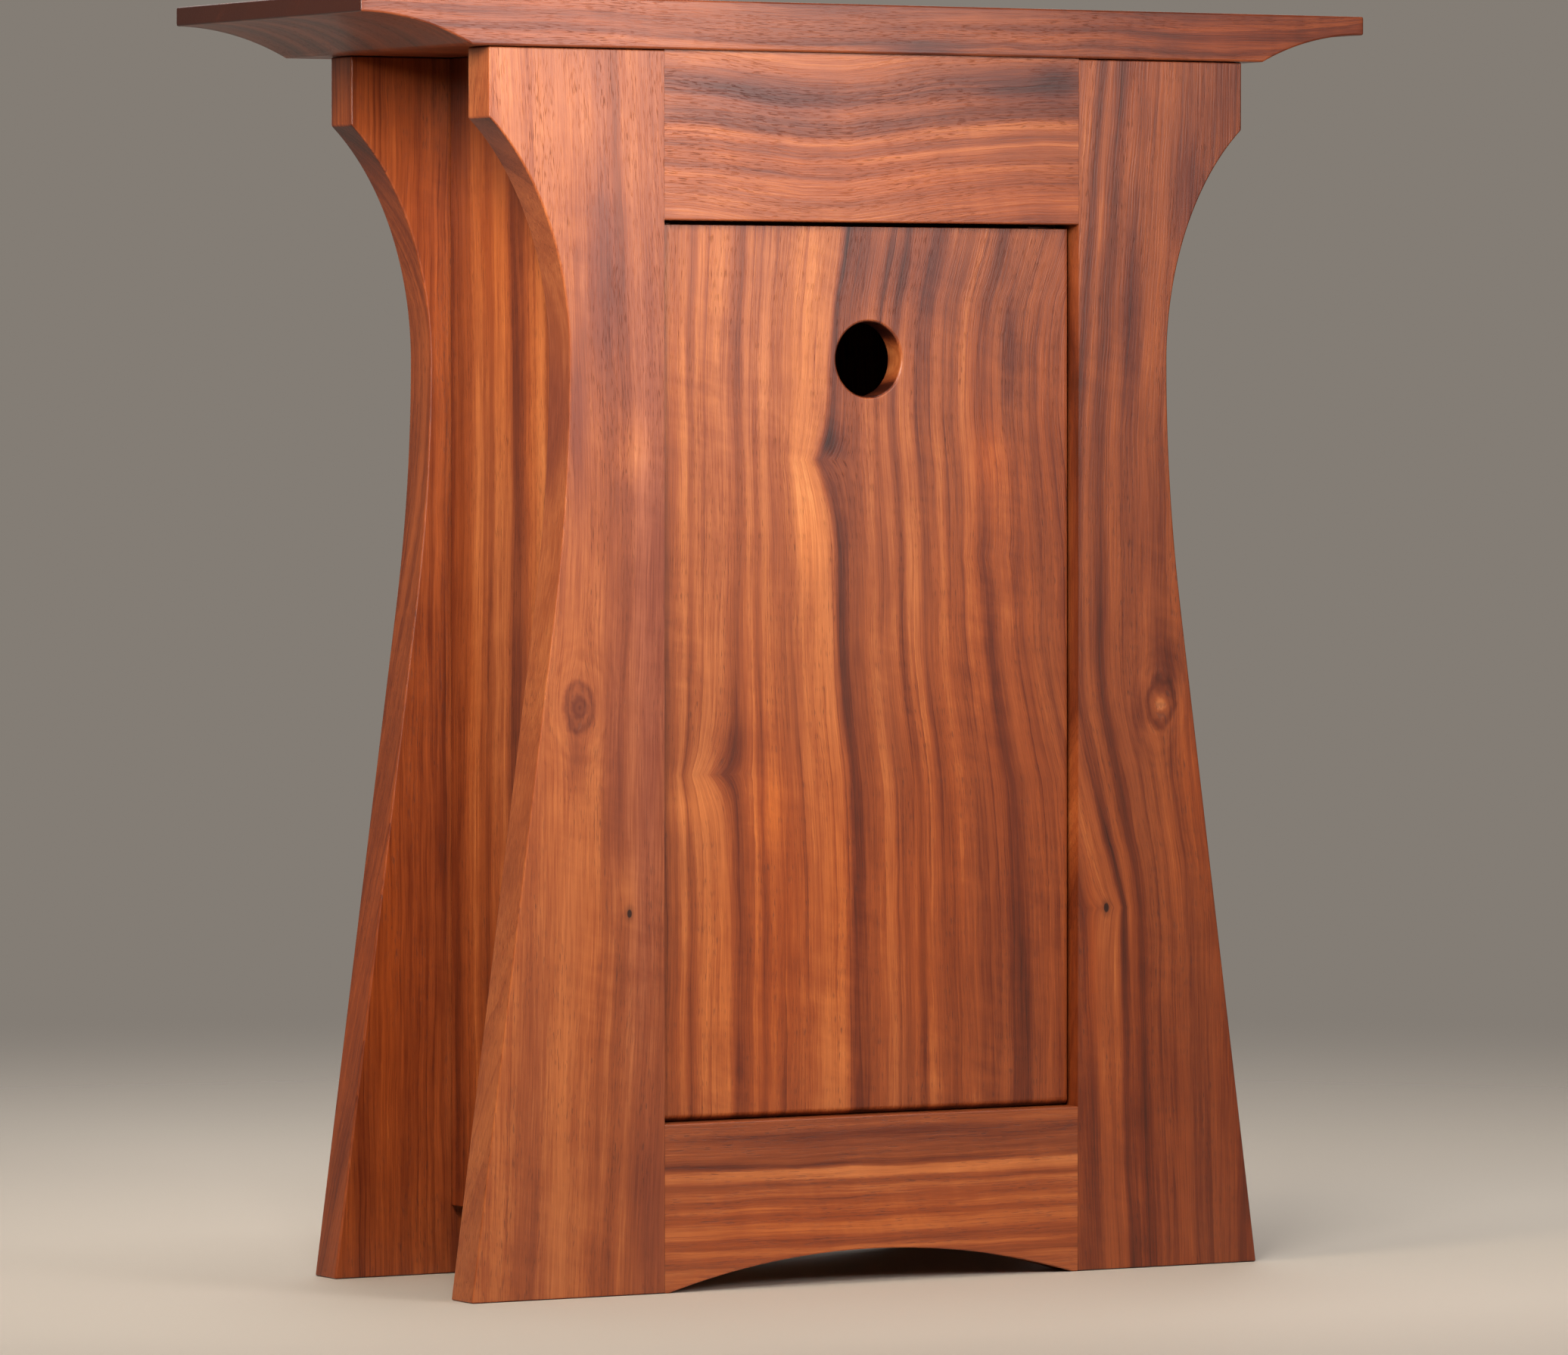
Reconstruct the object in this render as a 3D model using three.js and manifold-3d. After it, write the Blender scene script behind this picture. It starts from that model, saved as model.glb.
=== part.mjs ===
import * as THREE from 'three';
import { mergeVertices } from 'three/addons/utils/BufferGeometryUtils.js';
import Module from 'manifold-3d';

// A walnut album stand: two flared post-and-rail frames joined by side panels and a coved top.
// The back frame (-Y) holds a recessed door that drops forward on two pins in its lower edge.
// +X is to the right seen from the door side, +Y is away from it, +Z is up, z = 0 is the floor.
// All sizes are in millimetres.

const wasm = await Module();
wasm.setup();

// ---- Driving dimensions ----

const FRAME_HEIGHT = 520;
const STOCK = 19;              // thickness of stiles, rails and side panels
const CASE_DEPTH = 144;        // over the outer faces of both frames
const GLUE = 0.1;              // hairline left in every glued joint
const FIT = 0.3;               // clearance round a pin, dowel, tenon or screw

const TOP_LENGTH = 490;
const TOP_DEPTH = 172;
const TOP_THICKNESS = 20.7;
const TOP_TIP = 8.1;           // thickness left at the ends of the top
const TOP_LIP = 3;             // overhang of the top past the back frame
const COVE_START = 193;        // half length of the top's flat underside

const OPENING_HALF = 101.4;    // half the clear width between two stiles
const TOP_RAIL_LOW = 449;
const BOTTOM_RAIL_HIGH = 71;
const ARCH_HALF = 99.2;
const ARCH_RISE = 14.4;

const FOOT_WIDTH = 91;         // stile widths, outwards from the opening
const WAIST_WIDTH = 44.7;
const EAR_WIDTH = 82.6;
const WAIST_HEIGHT = 391;
const EAR_LOW = 490.7;
const LEG_RADIUS = 778;        // sweep of the edge below the waist
const EAR_SWEEP = 120;         // vertical half axis of the ellipse above the waist

const DOOR_THICKNESS = 12;
const DOOR_SIDE_GAP = 1.2;
const DOOR_TOP_GAP = 1.6;
const DOOR_LOW_GAP = 0.3;
const FINGER_RADIUS = 15.875;
const FINGER_X = 1.5;
const FINGER_HEIGHT = 391.2;
const PIVOT_INSET = 3.5;       // from the door's face and lower edge to its pivot
const PIN_RADIUS = 1.5;
const PIN_REACH = 10;          // length of pivot pin on each side of the joint

const SIDE_OUTER = 136.8;      // outer face of each side panel
const SIDE_LOW = 29;
const FLOOR_THICKNESS = 12;
const CLEAT = 18;              // width and height of the cleats
const CLEAT_LENGTH = 180;

const STOP_INNER = 87.5;       // inner edge of the door stops
const STOP_THICKNESS = 10;
const STOP_LOW = 84;
const MAGNET_RADIUS = 4;
const MAGNET_THICKNESS = 3;
const MAGNET_X = 94;
const MAGNET_HEIGHT = 428;

const TENON_THICKNESS = 6;
const TENON_HEIGHT = 38;
const TENON_REACH = 20;        // depth of a loose tenon into each piece
const DOWEL_RADIUS = 4;
const DOWEL_IN_STILE = 9;
const DOWEL_IN_PANEL = 20;
const DOWEL_HEIGHTS = [80, 270, 462];

const GROOVE_DEPTH = 8;        // groove that holds the fixed panel
const GROOVE_WIDTH = 6;
const TONGUE = 7;

const SCREW_RADIUS = 2;
const SCREW_HEAD_RADIUS = 4;
const SCREW_HEAD_HEIGHT = 3;
const SCREW_IN_TOP = 12;
const SCREW_X = 62;

// ---- Places worked out from them ----

const BACK_FACE = -TOP_DEPTH / 2 + TOP_LIP;
const FRONT_FACE = BACK_FACE + CASE_DEPTH;
const BACK_INSIDE = BACK_FACE + STOCK;
const FRONT_INSIDE = FRONT_FACE - STOCK;
const INSIDE_MIDDLE = (BACK_INSIDE + FRONT_INSIDE) / 2;
const INSIDE_DEPTH = FRONT_INSIDE - BACK_INSIDE;
const SIDE_INNER = SIDE_OUTER - STOCK;
const SIDE_MIDDLE = SIDE_OUTER - STOCK / 2;
const DOOR_LOW = BOTTOM_RAIL_HIGH + DOOR_LOW_GAP;
const DOOR_HIGH = TOP_RAIL_LOW - DOOR_TOP_GAP;
const DOOR_HALF = OPENING_HALF - DOOR_SIDE_GAP;
const DOOR_FACE = BACK_INSIDE - DOOR_THICKNESS;
const TOP_UNDERSIDE = FRAME_HEIGHT + GLUE;
const SIDES = [['left', -1], ['right', 1]];

// ---- Materials ----

function walnut(colour) {
  return new THREE.MeshStandardMaterial({ color: colour, roughness: 0.42, metalness: 0 });
}

const WALNUT = walnut(0x9a5535);
const WALNUT_RED = walnut(0x8f4628);
const WALNUT_TOP = walnut(0xa05f40);
const MAPLE = new THREE.MeshStandardMaterial({ color: 0xcfae7c, roughness: 0.6, metalness: 0 });
const BRASS = new THREE.MeshStandardMaterial({ color: 0xb08d45, roughness: 0.35, metalness: 1 });
const STEEL = new THREE.MeshStandardMaterial({ color: 0x8c8f94, roughness: 0.3, metalness: 1 });

// ---- Solids ----

function solid(geometry) {
  const bare = geometry.clone();
  bare.deleteAttribute('normal');
  bare.deleteAttribute('uv');
  const merged = mergeVertices(bare, 1e-4);
  return new wasm.Manifold(new wasm.Mesh({
    numProp: 3,
    vertProperties: Float32Array.from(merged.attributes.position.array),
    triVerts: Uint32Array.from(merged.index.array),
  }));
}

function geometryOf(body) {
  const mesh = body.getMesh();
  const geometry = new THREE.BufferGeometry();
  geometry.setAttribute('position', new THREE.BufferAttribute(mesh.vertProperties, 3));
  geometry.setIndex(new THREE.BufferAttribute(mesh.triVerts, 1));
  geometry.computeVertexNormals();
  return geometry;
}

// A box between two corners.
function block(low, high) {
  const size = high.map((value, i) => value - low[i]);
  const geometry = new THREE.BoxGeometry(...size);
  geometry.translate(...low.map((value, i) => value + size[i] / 2));
  return solid(geometry);
}

// An outline in X and Z, given its thickness between two planes of Y.
function slab(outline, yLow, yHigh) {
  const shape = new THREE.Shape(outline);
  const geometry = new THREE.ExtrudeGeometry(shape, { depth: yHigh - yLow, bevelEnabled: false });
  geometry.rotateX(Math.PI / 2);
  geometry.translate(0, yHigh, 0);
  return solid(geometry);
}

// A round bar along 'x', 'y' or 'z' from one place on that axis to another.
function bar(axis, radius, from, to, centre, facets) {
  const geometry = new THREE.CylinderGeometry(radius, radius, to - from, facets);
  const middle = (from + to) / 2;
  if (axis === 'x') {
    geometry.rotateZ(Math.PI / 2);
    geometry.translate(middle, centre[0], centre[1]);
  } else if (axis === 'y') {
    geometry.translate(centre[0], middle, centre[1]);
  } else {
    geometry.rotateX(Math.PI / 2);
    geometry.translate(centre[0], centre[1], middle);
  }
  return solid(geometry);
}

function cutAll(body, tools) {
  return tools.reduce((left, tool) => left.subtract(tool), body);
}

function part(name, body, material) {
  const mesh = new THREE.Mesh(geometryOf(body), material);
  mesh.name = name;
  return mesh;
}

// ---- Frames: local y = 0 is the outer face, y = STOCK the inner face ----

// Outline of a stile: its widths are measured outwards from the opening.
function stileOutline(side) {
  const legX = WAIST_WIDTH + LEG_RADIUS - FOOT_WIDTH;
  const legTilt = Math.atan2(WAIST_HEIGHT, legX);
  const lean = legTilt - Math.acos(LEG_RADIUS / Math.hypot(legX, WAIST_HEIGHT));
  const reach = Math.asin((EAR_LOW - WAIST_HEIGHT) / EAR_SWEEP);
  const earAxis = (EAR_WIDTH - WAIST_WIDTH) / (1 - Math.cos(reach));
  const points = [[0, 0], [FOOT_WIDTH, 0]];
  const legSteps = 10;
  for (let i = 0; i <= legSteps; i += 1) {
    const angle = lean * (1 - i / legSteps);
    const width = WAIST_WIDTH + LEG_RADIUS * (1 - Math.cos(angle));
    points.push([width, WAIST_HEIGHT - LEG_RADIUS * Math.sin(angle)]);
  }
  const earSteps = 16;
  for (let i = 1; i <= earSteps; i += 1) {
    const angle = reach * i / earSteps;
    const width = WAIST_WIDTH + earAxis * (1 - Math.cos(angle));
    points.push([width, WAIST_HEIGHT + EAR_SWEEP * Math.sin(angle)]);
  }
  points.push([EAR_WIDTH, FRAME_HEIGHT], [0, FRAME_HEIGHT]);
  return points.map(([width, z]) => new THREE.Vector2(side * (OPENING_HALF + width), z));
}

// Outline of a bottom rail, arched along its lower edge.
function archedOutline(half) {
  const radius = (ARCH_HALF ** 2 + ARCH_RISE ** 2) / (2 * ARCH_RISE);
  const spread = Math.asin(ARCH_HALF / radius);
  const points = [[half, 0], [half, BOTTOM_RAIL_HIGH], [-half, BOTTOM_RAIL_HIGH], [-half, 0]];
  const steps = 20;
  for (let i = 0; i <= steps; i += 1) {
    const angle = spread * (2 * i / steps - 1);
    const z = Math.max(0, ARCH_RISE - radius * (1 - Math.cos(angle)));
    points.push([radius * Math.sin(angle), z]);
  }
  return points.map(([x, z]) => new THREE.Vector2(x, z));
}

// The slot for a loose tenon, or the tenon itself when spare is 0.
function tenonBlock(side, height, spare) {
  const middle = side * (OPENING_HALF + GLUE / 2);
  const reach = TENON_REACH + spare;
  const half = TENON_THICKNESS / 2 + spare;
  const tall = TENON_HEIGHT / 2 + spare;
  const low = [middle - reach, STOCK / 2 - half, height - tall];
  const high = [middle + reach, STOCK / 2 + half, height + tall];
  return block(low, high);
}

// The groove all round the opening that holds the fixed panel's tongue.
function grooveBlock() {
  const y = STOCK - DOOR_THICKNESS / 2;
  const half = GROOVE_WIDTH / 2;
  const wide = OPENING_HALF + GROOVE_DEPTH;
  const low = [-wide, y - half, BOTTOM_RAIL_HIGH - GROOVE_DEPTH];
  return block(low, [wide, y + half, TOP_RAIL_LOW + GROOVE_DEPTH]);
}

function pinHole(side) {
  const reach = PIN_REACH + FIT;
  const from = side > 0 ? OPENING_HALF - DOOR_SIDE_GAP - reach : -OPENING_HALF - reach;
  const to = side > 0 ? OPENING_HALF + reach : -OPENING_HALF + DOOR_SIDE_GAP + reach;
  const centre = [DOOR_FACE + PIVOT_INSET - BACK_FACE, DOOR_LOW + PIVOT_INSET];
  return bar('x', PIN_RADIUS + FIT, from, to, centre, 24);
}

// One complete frame. mirror is -1 where the frame is turned round to face +Y.
function frame(label, mirror, holdsDoor) {
  const group = new THREE.Group();
  const topRailMiddle = (FRAME_HEIGHT + TOP_RAIL_LOW) / 2;
  const lowRailMiddle = (BOTTOM_RAIL_HIGH + ARCH_RISE) / 2;
  const railHalf = OPENING_HALF - GLUE;
  const slots = [];
  for (const [name, sign] of SIDES) {
    const side = sign * mirror;
    const tenonSlots = [
      tenonBlock(side, topRailMiddle, FIT),
      tenonBlock(side, lowRailMiddle, FIT),
    ];
    slots.push(...tenonSlots);
    const dowelHoles = DOWEL_HEIGHTS.map((height) => bar(
      'y', DOWEL_RADIUS + FIT, STOCK - DOWEL_IN_STILE - FIT, STOCK + 1,
      [side * SIDE_MIDDLE, height], 16,
    ));
    const extra = holdsDoor ? pinHole(side) : grooveBlock();
    const stile = cutAll(slab(stileOutline(side), 0, STOCK), [...tenonSlots, ...dowelHoles, extra]);
    group.add(part(`${label}_stile_${name}`, stile, WALNUT));
    for (const [place, height] of [['top', topRailMiddle], ['bottom', lowRailMiddle]]) {
      const tenon = part(`${label}_${place}_tenon_${name}`, tenonBlock(side, height, 0), MAPLE);
      group.add(tenon);
    }
  }
  let topRail = block([-railHalf, 0, TOP_RAIL_LOW], [railHalf, STOCK, FRAME_HEIGHT]);
  let lowRail = slab(archedOutline(railHalf), 0, STOCK);
  if (!holdsDoor) {
    slots.push(grooveBlock());
  }
  topRail = cutAll(topRail, slots);
  lowRail = cutAll(lowRail, slots);
  group.add(part(`${label}_top_rail`, topRail, WALNUT));
  group.add(part(`${label}_bottom_rail`, lowRail, WALNUT));
  return group;
}

// ---- Panels ----

// The door's cross section has its lower front arris rounded about the pivot.
function doorBody() {
  const outline = [[DOOR_THICKNESS, 0], [DOOR_THICKNESS, DOOR_HIGH - DOOR_LOW], [0, DOOR_HIGH - DOOR_LOW]];
  const steps = 6;
  for (let i = 0; i <= steps; i += 1) {
    const angle = Math.PI / 2 * i / steps;
    outline.push([
      PIVOT_INSET * (1 - Math.cos(angle)),
      PIVOT_INSET * (1 - Math.sin(angle)),
    ]);
  }
  const shape = new THREE.Shape(outline.map(([y, z]) => new THREE.Vector2(y, z)));
  const geometry = new THREE.ExtrudeGeometry(shape, { depth: 2 * DOOR_HALF, bevelEnabled: false });
  geometry.rotateX(Math.PI / 2);
  geometry.rotateZ(Math.PI / 2);
  geometry.translate(-DOOR_HALF, 0, 0);
  return solid(geometry);
}

// Built about the pivot, which is where the door's mesh is placed.
function door() {
  const height = FINGER_HEIGHT - DOOR_LOW;
  const tools = [bar('y', FINGER_RADIUS, -1, DOOR_THICKNESS + 1, [FINGER_X, height], 64)];
  for (const [, side] of SIDES) {
    const mouth = side * DOOR_HALF;
    const end = side * (DOOR_HALF - PIN_REACH - FIT);
    const ends = [Math.min(mouth + side, end), Math.max(mouth + side, end)];
    const magnet = [side * MAGNET_X, MAGNET_HEIGHT - DOOR_LOW];
    const pocket = DOOR_THICKNESS - MAGNET_THICKNESS - FIT;
    tools.push(bar('x', PIN_RADIUS + FIT, ...ends, [PIVOT_INSET, PIVOT_INSET], 24));
    tools.push(bar('y', MAGNET_RADIUS + FIT, pocket, DOOR_THICKNESS + 1, magnet, 24));
  }
  return cutAll(doorBody(), tools);
}

// The fixed panel opposite the door: a flush field with a thin tongue all round.
function fixedPanel() {
  const field = block(
    [-DOOR_HALF, 0, BOTTOM_RAIL_HIGH + DOOR_SIDE_GAP],
    [DOOR_HALF, DOOR_THICKNESS, TOP_RAIL_LOW - DOOR_SIDE_GAP],
  );
  const wide = OPENING_HALF + TONGUE;
  const tongue = block(
    [-wide, (DOOR_THICKNESS - GROOVE_WIDTH) / 2 + FIT, BOTTOM_RAIL_HIGH - TONGUE],
    [wide, (DOOR_THICKNESS + GROOVE_WIDTH) / 2 - FIT, TOP_RAIL_LOW + TONGUE],
  );
  return field.add(tongue);
}

function sidePanel() {
  const half = INSIDE_DEPTH / 2 - FIT;
  const tools = [];
  for (const height of DOWEL_HEIGHTS) {
    for (const [from, to] of [[-half - 1, DOWEL_IN_PANEL + FIT - half], [half - DOWEL_IN_PANEL - FIT, half + 1]]) {
      tools.push(bar('y', DOWEL_RADIUS + FIT, from, to, [0, height], 16));
    }
  }
  const body = block([-STOCK / 2, -half, SIDE_LOW], [STOCK / 2, half, FRAME_HEIGHT]);
  return cutAll(body, tools);
}

// ---- Top ----

function topOutline() {
  const tip = TOP_LENGTH / 2;
  const run = tip - COVE_START;
  const rise = TOP_THICKNESS - TOP_TIP;
  const radius = (run ** 2 + rise ** 2) / (2 * rise);
  const spread = Math.asin(run / radius);
  const steps = 12;
  const cove = [];
  for (let i = 0; i <= steps; i += 1) {
    const angle = spread * i / steps;
    cove.push([tip - radius * Math.sin(angle), rise - radius * (1 - Math.cos(angle))]);
  }
  const left = cove.map(([x, z]) => [-x, z]).reverse();
  const outline = [...left, [-tip, TOP_THICKNESS], [tip, TOP_THICKNESS], ...cove];
  return outline.map(([x, z]) => new THREE.Vector2(x, z));
}

function screwPlaces() {
  const offset = INSIDE_DEPTH / 2 - GLUE - CLEAT / 2;
  const places = [];
  for (const y of [-offset, offset]) {
    for (const [, side] of SIDES) {
      places.push([side * SCREW_X, INSIDE_MIDDLE + y]);
    }
  }
  return places;
}

function top() {
  const tools = screwPlaces().map((place) => bar(
    'z', SCREW_RADIUS + FIT, -1, SCREW_IN_TOP + FIT, place, 16,
  ));
  return cutAll(slab(topOutline(), -TOP_DEPTH / 2, TOP_DEPTH / 2), tools);
}

// A screw with a domed head below z = 0 and its point at the top.
function screw() {
  const length = CLEAT + 2 * GLUE + SCREW_IN_TOP;
  const profile = [[0, -SCREW_HEAD_HEIGHT]];
  const steps = 5;
  for (let i = 1; i <= steps; i += 1) {
    const angle = Math.PI / 2 * i / steps;
    profile.push([
      SCREW_HEAD_RADIUS * Math.sin(angle),
      -FIT - (SCREW_HEAD_HEIGHT - FIT) * Math.cos(angle),
    ]);
  }
  profile.push([SCREW_RADIUS, -FIT], [SCREW_RADIUS, length - 4], [0, length]);
  const points = profile.map(([r, z]) => new THREE.Vector2(r, z));
  const geometry = new THREE.LatheGeometry(points, 16);
  geometry.rotateX(Math.PI / 2);
  return geometry;
}

// ---- Assembly ----

const group = new THREE.Group();

function place(mesh, x, y, z) {
  mesh.position.set(x, y, z);
  group.add(mesh);
}

const backFrame = frame('back', 1, true);
backFrame.position.y = BACK_FACE;
group.add(backFrame);

const frontFrame = frame('front', -1, false);
frontFrame.rotation.z = Math.PI;
frontFrame.position.y = FRONT_FACE;
group.add(frontFrame);

place(part('top_board', top(), WALNUT_TOP), 0, 0, TOP_UNDERSIDE);
place(part('door_panel', door(), WALNUT), 0, DOOR_FACE, DOOR_LOW);
place(part('front_panel', fixedPanel(), WALNUT), 0, FRONT_INSIDE, 0);

for (const [name, side] of SIDES) {
  const panel = part(`side_panel_${name}`, sidePanel(), WALNUT_RED);
  place(panel, side * SIDE_MIDDLE, INSIDE_MIDDLE, 0);

  const pinLength = 2 * PIN_REACH + DOOR_SIDE_GAP;
  const pin = part(`pivot_pin_${name}`, bar('x', PIN_RADIUS, 0, pinLength, [0, 0], 24), BRASS);
  const pinStart = side > 0 ? DOOR_HALF - PIN_REACH : -OPENING_HALF - PIN_REACH;
  place(pin, pinStart, DOOR_FACE + PIVOT_INSET, DOOR_LOW + PIVOT_INSET);

  const stopOuter = SIDE_INNER - FIT;
  const stopWidth = stopOuter - STOP_INNER;
  const stopHeight = TOP_RAIL_LOW - STOP_LOW;
  const pocketPlace = [side * (MAGNET_X - STOP_INNER - stopWidth / 2), MAGNET_HEIGHT - STOP_LOW];
  const pocket = bar('y', MAGNET_RADIUS + FIT, -1, MAGNET_THICKNESS + FIT, pocketPlace, 24);
  const strip = block([-stopWidth / 2, 0, 0], [stopWidth / 2, STOP_THICKNESS, stopHeight]);
  const stop = part(`door_stop_${name}`, strip.subtract(pocket), WALNUT);
  place(stop, side * (STOP_INNER + stopWidth / 2), BACK_INSIDE + FIT, STOP_LOW);

  const disc = bar('y', MAGNET_RADIUS, 0, MAGNET_THICKNESS, [0, 0], 24);
  const doorMagnet = part(`door_magnet_${name}`, disc, STEEL);
  place(doorMagnet, side * MAGNET_X, BACK_INSIDE - MAGNET_THICKNESS, MAGNET_HEIGHT);
  const stopMagnet = part(`stop_magnet_${name}`, disc, STEEL);
  place(stopMagnet, side * MAGNET_X, BACK_INSIDE + FIT, MAGNET_HEIGHT);

  const cleatDepth = INSIDE_DEPTH - 2 * FIT;
  const cleat = block([-CLEAT / 2, -cleatDepth / 2, -CLEAT], [CLEAT / 2, cleatDepth / 2, 0]);
  const floorLow = BOTTOM_RAIL_HIGH - FLOOR_THICKNESS;
  const floorCleat = part(`floor_cleat_${name}`, cleat, MAPLE);
  place(floorCleat, side * (SIDE_INNER - GLUE - CLEAT / 2), INSIDE_MIDDLE, floorLow - GLUE);
}

// The floor stops a millimetre short of the back frame, clear of the door's turning edge.
const floorBack = BACK_INSIDE + 1;
const floorBody = block(
  [-SIDE_INNER + FIT, floorBack, BOTTOM_RAIL_HIGH - FLOOR_THICKNESS],
  [SIDE_INNER - FIT, FRONT_INSIDE - FIT, BOTTOM_RAIL_HIGH],
);
group.add(part('floor_board', floorBody, MAPLE));

const cleatLow = FRAME_HEIGHT - CLEAT;
const cleatOffset = INSIDE_DEPTH / 2 - GLUE - CLEAT / 2;
for (const [name, sign] of [['back', -1], ['front', 1]]) {
  const body = block(
    [-CLEAT_LENGTH / 2, -CLEAT / 2, 0],
    [CLEAT_LENGTH / 2, CLEAT / 2, CLEAT],
  );
  const holes = [-SCREW_X, SCREW_X].map((x) => bar(
    'z', SCREW_RADIUS + FIT, -1, CLEAT + 1, [x, 0], 16,
  ));
  const cleat = part(`top_cleat_${name}`, cutAll(body, holes), MAPLE);
  place(cleat, 0, INSIDE_MIDDLE + sign * cleatOffset, cleatLow);
}

screwPlaces().forEach(([x, y], i) => {
  const mesh = new THREE.Mesh(screw(), STEEL);
  mesh.name = `top_screw_${i + 1}`;
  place(mesh, x, y, cleatLow);
});

for (const [name, side] of SIDES) {
  for (const [label, sign] of [['back', -1], ['front', 1]]) {
    DOWEL_HEIGHTS.forEach((height, i) => {
      const edge = INSIDE_MIDDLE + sign * INSIDE_DEPTH / 2;
      const into = sign * (DOWEL_IN_STILE - FIT);
      const back = sign * -(DOWEL_IN_PANEL - FIT);
      const body = bar('y', DOWEL_RADIUS, Math.min(into, back), Math.max(into, back), [0, 0], 16);
      const dowel = part(`${label}_dowel_${name}_${i + 1}`, body, MAPLE);
      place(dowel, side * SIDE_MIDDLE, edge, height);
    });
  }
}

export default group;
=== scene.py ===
import math

import bmesh
import bpy
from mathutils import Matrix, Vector


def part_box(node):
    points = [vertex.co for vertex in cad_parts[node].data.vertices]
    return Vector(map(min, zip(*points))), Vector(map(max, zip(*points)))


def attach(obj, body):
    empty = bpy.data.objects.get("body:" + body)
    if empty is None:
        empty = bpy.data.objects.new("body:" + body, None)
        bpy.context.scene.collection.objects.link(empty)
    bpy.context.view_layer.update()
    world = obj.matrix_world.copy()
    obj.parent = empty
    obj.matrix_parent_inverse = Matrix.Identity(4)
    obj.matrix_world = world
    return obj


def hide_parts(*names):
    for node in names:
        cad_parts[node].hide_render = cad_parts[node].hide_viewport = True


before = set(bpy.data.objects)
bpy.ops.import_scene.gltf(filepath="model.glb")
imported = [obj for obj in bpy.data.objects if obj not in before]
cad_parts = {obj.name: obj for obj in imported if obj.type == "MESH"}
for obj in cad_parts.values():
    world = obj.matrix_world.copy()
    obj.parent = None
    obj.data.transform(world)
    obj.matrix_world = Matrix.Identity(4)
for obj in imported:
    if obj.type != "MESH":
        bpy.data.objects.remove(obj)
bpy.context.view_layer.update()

MM = 0.001
SIDES = (("left", -1), ("right", 1))
FRAMES = ("back", "front")
DOWELS = (1, 2, 3)        # numbered up each side panel, at each frame
SCREWS = (1, 2, 3, 4)

# ---- Sizes, in metres, that the CAD boxes don't give ----

# eased edges, by their radius, and chamfers, by their width
ARRIS = 0.9 * MM          # of the frames and the top
SIDE_ARRIS = 1.0 * MM     # of the side panels
DOOR_ARRIS = 0.7 * MM
RIM_ARRIS = 1.2 * MM      # round the finger hole
INNER_ARRIS = 0.8 * MM    # of the pieces inside the case
TENON_ROUND = 2.4 * MM    # long edges of a loose tenon
TENON_CHAMFER = 0.5 * MM
DOWEL_CHAMFER = 0.8 * MM
PIN_CHAMFER = 0.3 * MM
MAGNET_CHAMFER = 0.2 * MM

# outline of a stile: widths are measured outwards from the opening
WAIST_WIDTH = 44.7 * MM
WAIST_HEIGHT = 391 * MM
EAR_WIDTH = 82.6 * MM
EAR_LOW = 490.7 * MM      # the edge runs straight up from here to the top
EAR_SWEEP = 120 * MM      # half the height of the ellipse that the ear follows
FOOT_WIDTH = 91 * MM
LEG_RADIUS = 778 * MM

COVE_START = 193 * MM     # from the middle of the top board
TOP_TIP = 8.1 * MM        # thickness left at the ends of the top
ARCH_HALF = 99.2 * MM     # half the width of the arch under the bottom rail
ARCH_RISE = 14.4 * MM
FINGER_RADIUS = 15.875 * MM
FINGER_X = 1.5 * MM
FINGER_HEIGHT = 391.2 * MM
PIVOT_INSET = 3.5 * MM    # from the door's lower front corner to the pins' centre line

FIT = 0.3 * MM            # clearance of a slot or hole round what goes in it
GROOVE_DEPTH = 8 * MM
GROOVE_HALF = 3 * MM      # half its width
TONGUE_REACH = 7 * MM     # of the fixed panel, past the opening
TONGUE_HALF = 2.7 * MM    # half its thickness
DOOR_SIDE_GAP = 1.2 * MM  # and the gap round the fixed panel's field

SHANK_RADIUS = 2 * MM     # of a screw
SCREW_HEAD = 3 * MM       # height left for its head
SCREW_POINT = 4 * MM      # length of its point
SCREW_TIP = 0.1           # the point's end, as a share of the shank
SCREW_NECK = 0.3 * MM     # from the shank to the underside of the head
RECESS_DEPTH = 1.2 * MM
RECESS_EDGE = 0.5 * MM

# how many straight steps stand for each curve
EASE_STEPS = 3
LEG_STEPS = 12
EAR_STEPS = 28
ARCH_STEPS = 32
COVE_STEPS = 20
HOLE_STEPS = 96
ROD_STEPS = 32
SCREW_STEPS = 24
TENON_STEPS = 4
NOSE_STEPS = 8            # the door's rounded lower edge

PASS_THROUGH = 100 * MM   # length of a cutter that goes right through a panel
OVERRUN = 1 * MM          # of a cutter, past the face it enters by
SHARP = math.radians(35)   # the least angle at which an edge counts as sharp
SMOOTH = math.radians(40)  # faces that meet at less than this are shaded as one


# ---- Camera and light ----

LENS = 211.97             # millimetres, for the sensor below
SENSOR = 36
CAMERA_PLACE = (-1.97036, -3.45415, 0.37015)
CAMERA_DOWN = 1.666       # degrees below level
CAMERA_TURN = 29.746      # degrees to the right of straight at the door


def add_camera():
    """A long lens, low on the door side and to its left."""
    data = bpy.data.cameras.new("camera")
    data.lens = LENS
    data.sensor_width = SENSOR
    data.clip_end = 100
    camera = bpy.data.objects.new("camera", data)
    bpy.context.scene.collection.objects.link(camera)
    camera.location = CAMERA_PLACE
    camera.rotation_euler = (math.radians(90 - CAMERA_DOWN), 0, math.radians(-CAMERA_TURN))
    bpy.context.scene.camera = camera


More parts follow.
